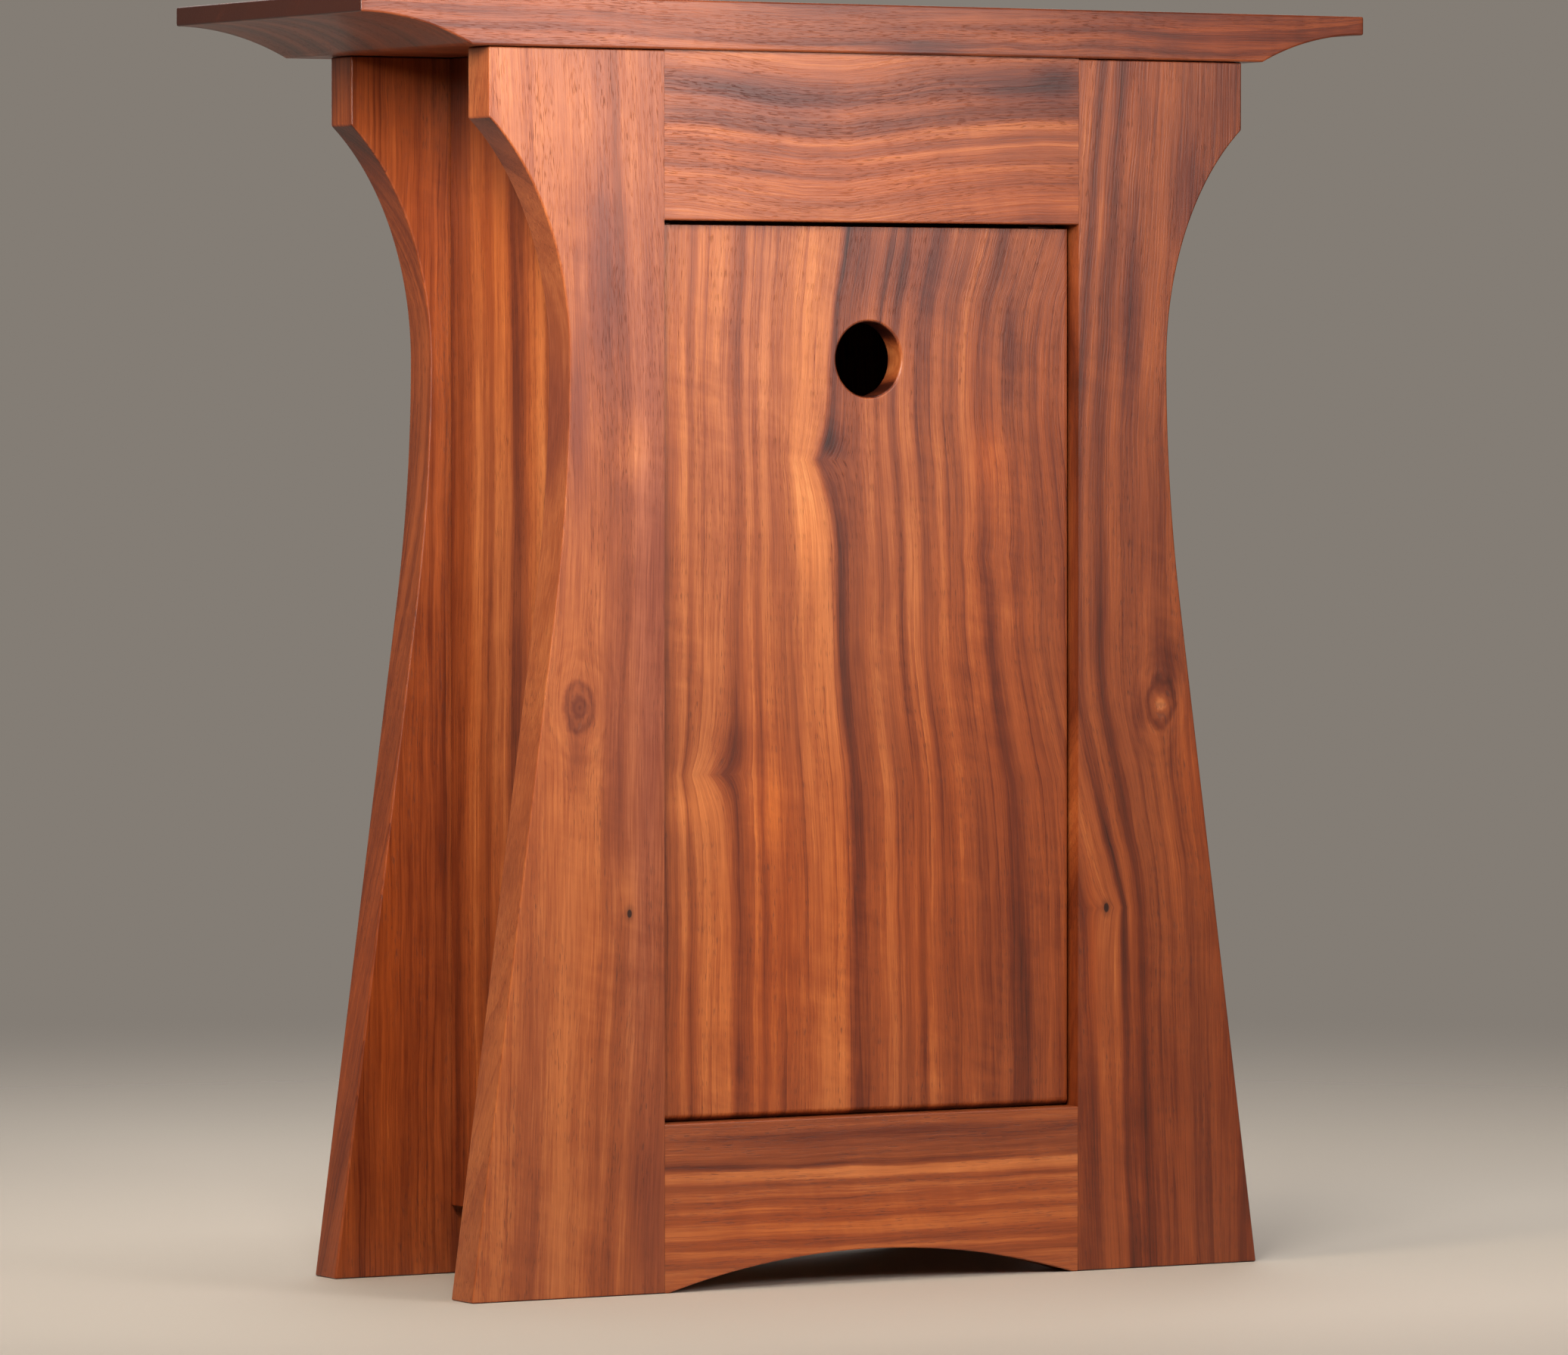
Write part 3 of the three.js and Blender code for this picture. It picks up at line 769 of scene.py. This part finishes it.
def make_fixed_panel(material):
    """A flush field with a thin tongue drawn out of all four of its edges."""
    low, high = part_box("front_panel")
    reach = TONGUE_REACH + DOOR_SIDE_GAP
    inner_low = Vector((low.x + reach, low.y, low.z + reach))
    inner_high = Vector((high.x - reach, high.y, high.z - reach))
    piece = start_block("shaped_front_panel", inner_low, inner_high)
    ease(piece, lambda a, b: near(a.y, b.y), DOOR_ARRIS)
    middle_y = (low.y + high.y) / 2
    slice_across(piece, 1, [middle_y - TONGUE_HALF, middle_y + TONGUE_HALF])
    for axis in (0, 2):
        for face_at, step in ((inner_low[axis], -reach), (inner_high[axis], reach)):
            start_edit(piece)
            bpy.ops.mesh.select_mode(type="FACE")
            mesh = bmesh.from_edit_mesh(piece.data)
            for face in mesh.faces:
                centre = face.calc_center_median()
                flat = abs(face.normal[axis]) > 0.99
                face.select_set(flat and near(centre[axis], face_at, 0.1 * MM)
                                and abs(centre.y - middle_y) < TONGUE_HALF)
            bmesh.update_edit_mesh(piece.data)
            offset = [0, 0, 0]
            offset[axis] = step
            bpy.ops.mesh.extrude_region_move(TRANSFORM_OT_translate={"value": offset})
            end_edit()
    finish_piece(piece, "case", "walnut_panel", material, "front_panel")


def make_board(node, slot, material, width=INNER_ARRIS, bores=()):
    """Any plain board of the case, with its edges eased."""
    low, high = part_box(node)
    piece = start_block("shaped_" + node, low, high)
    ease(piece, lambda a, b: True, width)
    for other, axis in bores:
        cut_bore(piece, other, axis)
    finish_piece(piece, "case", slot, material, node)


def make_round(node, axis, body, slot, material, chamfer):
    """A pin, dowel or disc with its ends chamfered."""
    low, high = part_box(node)
    along = "XYZ".index(axis)
    radius = (high[(along + 1) % 3] - low[(along + 1) % 3]) / 2
    length = high[along] - low[along]
    piece = start_rod("shaped_" + node, (low + high) / 2, axis, radius, length)
    ease(piece, lambda a, b: near(a[along], b[along]), chamfer, steps=2)
    finish_piece(piece, body, slot, material, node)


def make_tenon(node, material):
    """A loose tenon, its four long edges well rounded."""
    low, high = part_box(node)
    piece = start_block("shaped_" + node, low, high)
    ease(piece, lambda a, b: near(a.y, b.y) and near(a.z, b.z), TENON_ROUND, TENON_STEPS)
    ease(piece, lambda a, b: near(a.x, b.x), TENON_CHAMFER, steps=1)
    finish_piece(piece, "case", "maple_inner", material, node)


# a screw's domed head: how each step changes the width, and its height in millimetres
HEAD_STEPS = ((2.0, 0.05), (0.94, 0.9), (0.8, 0.95), (0.55, 0.6))


def make_screw(node, material):
    """A plain wood screw: a domed head with a round recess, a shank and a point."""
    low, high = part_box(node)
    centre = (low + high) / 2
    shank = (high.z - low.z) - SCREW_HEAD
    piece = start_rod("shaped_" + node, (centre.x, centre.y, high.z - shank / 2), "Z",
                      SHANK_RADIUS, shank, SCREW_STEPS)
    slice_across(piece, 2, [high.z - SCREW_POINT])
    start_edit(piece)
    bpy.ops.mesh.select_mode(type="VERT")
    mesh = bmesh.from_edit_mesh(piece.data)
    for corner in mesh.verts:
        corner.select_set(near(corner.co.z, high.z))
    bmesh.update_edit_mesh(piece.data)
    bpy.ops.transform.resize(
        value=(SCREW_TIP, SCREW_TIP, 1), center_override=(centre.x, centre.y, high.z))
    end_edit()
    start_edit(piece)
    bpy.ops.mesh.select_mode(type="FACE")
    mesh = bmesh.from_edit_mesh(piece.data)
    for face in mesh.faces:
        face.select_set(face.normal.z < -0.99)
    bmesh.update_edit_mesh(piece.data)
    bpy.ops.mesh.extrude_region_move(TRANSFORM_OT_translate={"value": (0, 0, -SCREW_NECK)})
    for wide, down in HEAD_STEPS:
        bpy.ops.mesh.extrude_region_move(TRANSFORM_OT_translate={"value": (0, 0, -down * MM)})
        bpy.ops.transform.resize(value=(wide, wide, 1), center_override=(centre.x, centre.y, 0))
    bpy.ops.mesh.inset(thickness=RECESS_EDGE)
    bpy.ops.mesh.extrude_region_move(TRANSFORM_OT_translate={"value": (0, 0, RECESS_DEPTH)})
    end_edit()
    finish_piece(piece, "case", "steel", material, node)


# ---- Assembly ----

# directions along the grain, across the face and into the board
UPRIGHT = "ZXY"
LEVEL = "XZY"
LYING = "XYZ"
SIDEWAYS = "ZYX"
CROSSWAYS = "YXZ"

# each walnut board's grain, in the terms of walnut() and follow_grain(); some spots, tones and warmths
# are painted sheen or painted shade
GRAIN = {
    "door_panel": dict(
        axes=UPRIGHT, seed=12.9, depth=0.85, swirl=1.6, sway=0.6, ring=7.0, ring_depth=0.26,
        spread=0.011, figure=0.10,
        bands=((-102, 0.44), (-92, 0.42), (-87, 0.62), (-84, 0.34), (-80, 0.58), (-66, 0.60),
               (-62, 0.34), (-57, 0.36), (-53, 0.66), (-49, 0.40), (-45, 0.62), (-38, 0.44),
               (-30, 0.50), (-20, 0.68), (-8, 0.68), (-4.5, 0.30), (-2, 0.22), (3, 0.34),
               (8, 0.38), (15, 0.58), (22, 0.42), (26, 0.54), (29.7, 0.24), (33, 0.60),
               (40, 0.52), (44, 0.32), (52, 0.58), (60, 0.44), (71, 0.50), (79, 0.20),
               (86, 0.50), (102, 0.40)),
        drift=((-190, 0), (-137, -0.5), (-48, -3), (2, -9), (55, -10.5), (89, -12.5),
               (113, -14), (143, -13.5), (162, -11), (190, -6)),
        cusps=((89.3, -21.8, 14, 14, 10), (-42.7, -75.4, 11, 14, 9), (48, 62, 18, 20, 4)),
        # (150, -60) and (110, -60), lighter and cooler high on the left, are a painted sheen; (-130,
        # 70), darker low on the right, and (-120, 0), warmer low down, are painted shade; the rest is
        # the wood's figure
        figure_and_painted_light=((170, 22, 22, 30, -0.14, -0.7), (138, 71, 33, 5, -0.16, -0.6),
               (90, 62, 14, 9, 0.14, 0.4), (150, -60, 70, 36, 0.06, -0.1),
               (62, -28, 28, 10, 0.15, 0.4), (97, -16, 7, 5, -0.22, -0.4),
               (-56, -86, 11, 12, 0.15, 0.3), (-32, -64, 14, 10, -0.15, 0.0),
               (-56, -46, 18, 9, 0.13, 0.3), (-120, 0, 90, 110, 0.0, 0.6),
               (-130, 70, 90, 45, -0.11, 0.0), (110, -60, 90, 45, 0.05, -0.1),
               (-20, 62, 120, 36, 0.0, 0.4)),
    ),
    "back_stile_left": dict(
        axes=UPRIGHT, seed=0.7, depth=0.55, swirl=2.0, sway=0.5, ring=9.0, ring_depth=0.06, streak=0.11,
        # the higher tone and lower warmth paint a sheen: this stile is lighter and greyer than the
        # right one
        tone=0.03, warmth=-0.12,
        bands=((-46, 0.46), (-34, 0.52), (-26, 0.58), (-17, 0.40), (-12, 0.52), (-4, 0.58),
               (1, 0.62), (6, 0.54), (13, 0.52), (18, 0.34), (21, 0.48), (25, 0.32),
               (29, 0.56), (36, 0.50), (42, 0.40), (46, 0.42)),
        drift=((-260, -6), (-120, -1), (-20, 0), (90, 3), (260, -4)),
        eyes=((-14.0, 5.0, 8.0, 5.2, 0.85, -0.20),),
        pins=((-100.3, 28.8, 1.2),),
        figure_and_painted_light=((168, 17, 36, 8, -0.10, -0.9), (94, 31, 13, 10, 0.14, 0.4),
               (104, 4, 30, 4, -0.10, -0.8), (-34, 4, 14, 5, -0.17, -0.4),
               (-14, 5, 11, 8, -0.10, -0.4), (220, -40, 40, 12, -0.10, 0.3),
               (-94, 27, 14, 5, 0.08, 0.4),
               (-215, 34, 30, 9, -0.12, -0.3), (-70, -30, 70, 12, 0.05, 0.3),
               (240, -30, 60, 30, 0.08, -0.2),
               # (10, 38) is a painted sheen: a lighter, greyer strip up the inner side
               (10, 38, 230, 12, 0.05, -0.8), (-40, 22, 60, 6, 0.02, -0.5)),
    ),
    "back_stile_right": dict(
        axes=UPRIGHT, seed=2.8, depth=0.85, swirl=1.6, sway=0.5, ring=9.0, ring_depth=0.16,
        # the lower tone and higher warmth paint the shade on the right: darker and warmer than the left
        # stile
        streak=0.15, spread=-0.012, tone=-0.10, warmth=0.1,
        bands=((-60, 0.42), (-46, 0.40), (-41, 0.64), (-36, 0.54), (-32, 0.64), (-28, 0.32),
               (-24, 0.52), (-18, 0.26), (-13, 0.46), (-5, 0.52), (4, 0.56), (12, 0.46),
               (20, 0.50), (28, 0.42), (36, 0.38), (46, 0.36)),
        drift=((-260, 9), (-153, 5), (-110, 3), (-75, -2), (-20, -10), (58, -12),
               (100, -12), (260, -4)),
        eyes=((-16.0, -4.0, 8, 5.2, 0.85, 0.22),),
        cusps=((-104, -31.3, 9, 10, -6),),
        pins=((-104, -31.3, 1.4),),
        figure_and_painted_light=((0, 2, 12, 7, -0.18, -0.5), (-18, -15, 14, 4, -0.16, -0.3),
               (150, -20, 46, 6, -0.12, -0.9), (205, 10, 34, 9, -0.08, -0.8),
               (-130, -39, 40, 4, 0.14, 0.6), (60, -12, 46, 9, -0.07, -0.5),
               (-60, 12, 50, 16, 0.04, 0.4), (-190, 5, 90, 60, -0.05, 0.5)),
    ),
    "back_top_rail": dict(
        axes=LEVEL, seed=4.3, depth=0.65, swirl=1.2, ring=6.0, ring_depth=0.10, tone=-0.05,
        bands=((-36, 0.46), (-32, 0.58), (-26, 0.50), (-22, 0.38), (-18, 0.62), (-15, 0.58),
               (-13, 0.32), (-10, 0.46), (-6, 0.62), (-4, 0.36), (-1, 0.56), (3, 0.66),
               (5, 0.30), (9, 0.24), (12, 0.48), (15, 0.52), (18, 0.26), (24, 0.28),
               (27, 0.44), (29, 0.40), (33, 0.62), (44, 0.56)),
        drift=((-102, 1), (-70, -1), (-35, -4.5), (-8, -4), (25, 0), (60, 3), (102, 5)),
        figure_and_painted_light=((70, 22, 34, 8, -0.16, -0.7), (-50, 16, 40, 10, -0.06, -0.6),
               (-85, 32, 20, 5, 0.08, 0.2), (30, -20, 60, 14, 0.04, 0.5),
               (90, 26, 10, 7, -0.14, -0.6)),
    ),
    "back_bottom_rail": dict(
        axes=LEVEL, seed=5.6, swirl=0.9, sway=0.6, ring=6.0, ring_depth=0.08, tone=0.03,
        bands=((-36, 0.42), (-28, 0.56), (-24, 0.36), (-20, 0.60), (-17, 0.38), (-13, 0.62),
               (-9, 0.60), (-6, 0.32), (-3, 0.58), (1, 0.44), (5, 0.62), (8, 0.30),
               (11, 0.68), (14, 0.62), (15.8, 0.12), (18, 0.30), (24, 0.40), (28, 0.28),
               (32, 0.42), (36, 0.36)),
        figure_and_painted_light=((0, 26, 130, 9, -0.03, -0.6), (0, -5, 130, 16, 0.0, 0.4)),
    ),
    "top_board": dict(
        axes=LYING, seed=9.1, swirl=5.0, tilt=1.0, ring=11.0, tone=-0.22,
        bands=((-98, 0.46), (-95, 0.60), (-93, 0.68), (-91, 0.44), (-88, 0.60), (-84, 0.52),
               (-81, 0.62), (-77, 0.58), (-72, 0.44), (-60, 0.56), (-50, 0.36), (-42, 0.60),
               (-30, 0.50), (-20, 0.64), (-8, 0.40), (2, 0.56), (14, 0.34), (22, 0.60),
               (36, 0.48), (48, 0.62), (58, 0.38), (70, 0.56), (84, 0.44), (98, 0.52)),
        # (-140, -92), lighter and greyer on the left of the front edge, is a painted sheen; (170, -90),
        # darker and warmer on its right, is painted shade
        figure_and_painted_light=((-140, -92, 90, 24, 0.10, -0.6), (22, -95, 22, 4, -0.20, -0.8),
               (170, -90, 70, 20, -0.06, 0.6)),
    ),
    "front_stile_left": dict(
        axes=UPRIGHT, seed=31.7, swirl=2.0, tilt=0.8, ring=4.0, ring_depth=0.28, tone=-0.09,
        warmth=0.35, streak=0.24),
    "front_stile_right": dict(
        axes=UPRIGHT, seed=34.2, swirl=3.0, tilt=0.6, ring=7.0, tone=-0.08, warmth=0.2),
    "front_top_rail": dict(axes=LEVEL, seed=37.9, swirl=7.0, sway=1.5, tone=-0.03),
    "front_bottom_rail": dict(axes=LEVEL, seed=41.3, swirl=6.0, sway=1.2, tone=-0.03),
    "front_panel": dict(
        axes=UPRIGHT, seed=45.5, swirl=6.0, ring=9.0, zone=0.14, bow=5.0,
        cusps=((60, 36, 14, 14, 8), (-90, -40, 16, 15, -9)),
        figure_and_painted_light=((60, 36, 16, 9, -0.12, 0.0), (-90, -40, 18, 10, 0.10, 0.3))),
    "side_panel_left": dict(
        axes=SIDEWAYS, seed=20.4, depth=1.0, swirl=1.5, ring=5.0, ring_depth=0.22, streak=0.22,
        warmth=0.4,
        bands=((-64, 0.50), (-50, 0.56), (-36, 0.46), (-26, 0.62), (-20, 0.58), (-14, 0.30),
               (-8, 0.26), (-2, 0.52), (8, 0.62), (14, 0.46), (20, 0.58), (28, 0.62),
               (38, 0.42), (48, 0.34), (56, 0.26), (64, 0.36)),
        drift=((-250, 0), (-60, 1), (80, -2), (250, 1)),
        # both spots are painted shade: darker low down, where the stile shades the panel, and a painted
        # shadow under the top
        figure_and_painted_light=((-190, 0, 110, 90, -0.11, 0.0), (238, 0, 26, 90, -0.14, 0.0))),
    "side_panel_right": dict(
        axes=SIDEWAYS, seed=22.9, swirl=3.0, ring=8.0, zone=0.16, streak=0.15, warmth=0.4),
    "door_stop_left": dict(axes=UPRIGHT, seed=61.0),
    "door_stop_right": dict(axes=UPRIGHT, seed=64.0),
}


def grained(node):
    """The walnut of one board."""
    return walnut(node, **GRAIN[node])


def make_frames():
    """The door's frame (back) and the fixed panel's frame (front)."""
    for label in FRAMES:
        for name, side in SIDES:
            make_stile(label, name, side, grained(f"{label}_stile_{name}"))
        make_top_rail(label, grained(label + "_top_rail"))
        make_bottom_rail(label, grained(label + "_bottom_rail"))


def make_joinery(brass, steel):
    """Tenons, dowels, pins, magnets and screws, most of them inside the joints."""
    tenon_maple = maple("back_top_tenon_left", LEVEL, 11.0)
    dowel_maple = maple("back_dowel_left_1", CROSSWAYS, 14.0)
    for name, _ in SIDES:
        for label in FRAMES:
            for place in ("top", "bottom"):
                make_tenon(f"{label}_{place}_tenon_{name}", tenon_maple)
            for number in DOWELS:
                make_round(f"{label}_dowel_{name}_{number}", "Y", "case", "maple_inner",
                           dowel_maple, DOWEL_CHAMFER)
        make_round("pivot_pin_" + name, "X", "case", "brass", brass, PIN_CHAMFER)
        make_round("stop_magnet_" + name, "Y", "case", "steel", steel, MAGNET_CHAMFER)
        make_round("door_magnet_" + name, "Y", "door", "steel", steel, MAGNET_CHAMFER)
    for number in SCREWS:
        make_screw(f"top_screw_{number}", steel)


def make_case():
    """The panels and boards between the two frames."""
    make_fixed_panel(grained("front_panel"))
    for name, _ in SIDES:
        node = "side_panel_" + name
        dowels = [(f"{label}_dowel_{name}_{number}", "Y")
                  for label in FRAMES for number in DOWELS]
        make_board(node, "walnut_side", grained(node), SIDE_ARRIS, dowels)
        node = "door_stop_" + name
        make_board(node, "walnut_inner", grained(node), bores=[("stop_magnet_" + name, "Y")])
        node = "floor_cleat_" + name
        make_board(node, "maple_inner", maple(node, CROSSWAYS, 3.0))
    make_board("floor_board", "maple_inner", maple("floor_board", LYING, 5.0))
    for label, numbers in (("back", (1, 2)), ("front", (3, 4))):
        node = "top_cleat_" + label
        make_board(node, "maple_inner", maple(node, LYING, 8.0),
                   bores=[(f"top_screw_{number}", "Z") for number in numbers])


# ---- Studio ----

FLOOR_RADIUS = 12
FLOOR_STEPS = 96
FLOOR_COLOUR = (*srgb(196, 185, 172), 1)
FLOOR_CLEAR = 0.35        # the floor is solid up to here, then fades into the backdrop
FLOOR_GONE = 1.7
WALL_FULL = 0.06          # the wall is whole up to this slope and gone above the next one
WALL_TOP = 0.42
DOOR_SIDE_SHARE = 0.3     # how much of the wall's light is left on the door side
WALL = (0.23, 0.205, 0.178, 1)
GLOOM = (0.035, 0.032, 0.03, 1)


def lay_floor():
    """A plain pale floor."""
    bpy.ops.mesh.primitive_circle_add(
        vertices=FLOOR_STEPS, radius=FLOOR_RADIUS, fill_type="NGON")
    floor = bpy.context.active_object
    floor.name = "floor"
    material, nodes = new_material("pale_floor")
    place = nodes.add("ShaderNodeTexCoord", {}, {}, "Object")
    distance = nodes.add("ShaderNodeVectorMath", {"operation": "LENGTH"}, {0: place}, "Value")
    solid = distance.step(FLOOR_GONE, FLOOR_CLEAR)
    close_material(nodes, FLOOR_COLOUR, 0.75, {"Alpha": solid})
    floor.data.materials.append(material)


def paint_backdrop():
    """A grey studio wall, low down and behind, dark overhead and on the door side."""
    world = bpy.data.worlds.new("studio")
    bpy.context.scene.world = world
    world.use_nodes = True
    nodes = Socket(world.node_tree)
    outward = nodes.add("ShaderNodeTexCoord", {}, {}, "Generated")
    up = nodes.add("ShaderNodeSeparateXYZ", {}, {0: outward}, "Z")
    away = nodes.add("ShaderNodeSeparateXYZ", {}, {0: outward}, "Y")
    share = away.step(-0.3, 0.6) * (1 - DOOR_SIDE_SHARE) + DOOR_SIDE_SHARE
    wall = up.step(WALL_TOP, WALL_FULL) * share
    backdrop = wall.blend(GLOOM, WALL)
    background = world.node_tree.nodes["Background"]
    world.node_tree.links.new(backdrop.output, background.inputs["Color"])


add_camera()
make_frames()
make_top(grained("top_board"))
make_door(grained("door_panel"))
make_case()
make_joinery(
    turned_metal("brass_rod", BRASS_DULL, BRASS_BRIGHT, 0.28),
    turned_metal("nickel_steel", STEEL_DULL, STEEL_BRIGHT, 0.22),
)
lay_floor()
paint_backdrop()
# each light's place, aim, width and height, power, colour and, for a narrow one, its spread
add_light("key", (-0.58, -0.74, 0.74), (-0.16, -0.07, 0.52), (0.32, 0.32), 2.95, (1.0, 0.98, 0.94), 85)
add_light("left", (-1.20, -0.34, 1.00), (-0.15, 0, 0.36), (0.40, 0.40), 1.35, (1.0, 0.82, 0.60), 70)
add_light("overhead", (0, 0, 3.0), (0, 0, 0), (1.6, 1.6), 46, (1.0, 0.98, 0.95))
add_light("behind", (0.9, 2.2, 1.3), (0, 0, 0.3), (2.6, 1.8), 22, (1.0, 0.98, 0.95))
add_light("sheen", (0.46, -1.25, 0.66), (-0.08, -0.08, 0.42), (0.35, 0.35), 6.4, (1.0, 0.97, 0.95))

scene = bpy.context.scene
scene.view_settings.view_transform = "Standard"
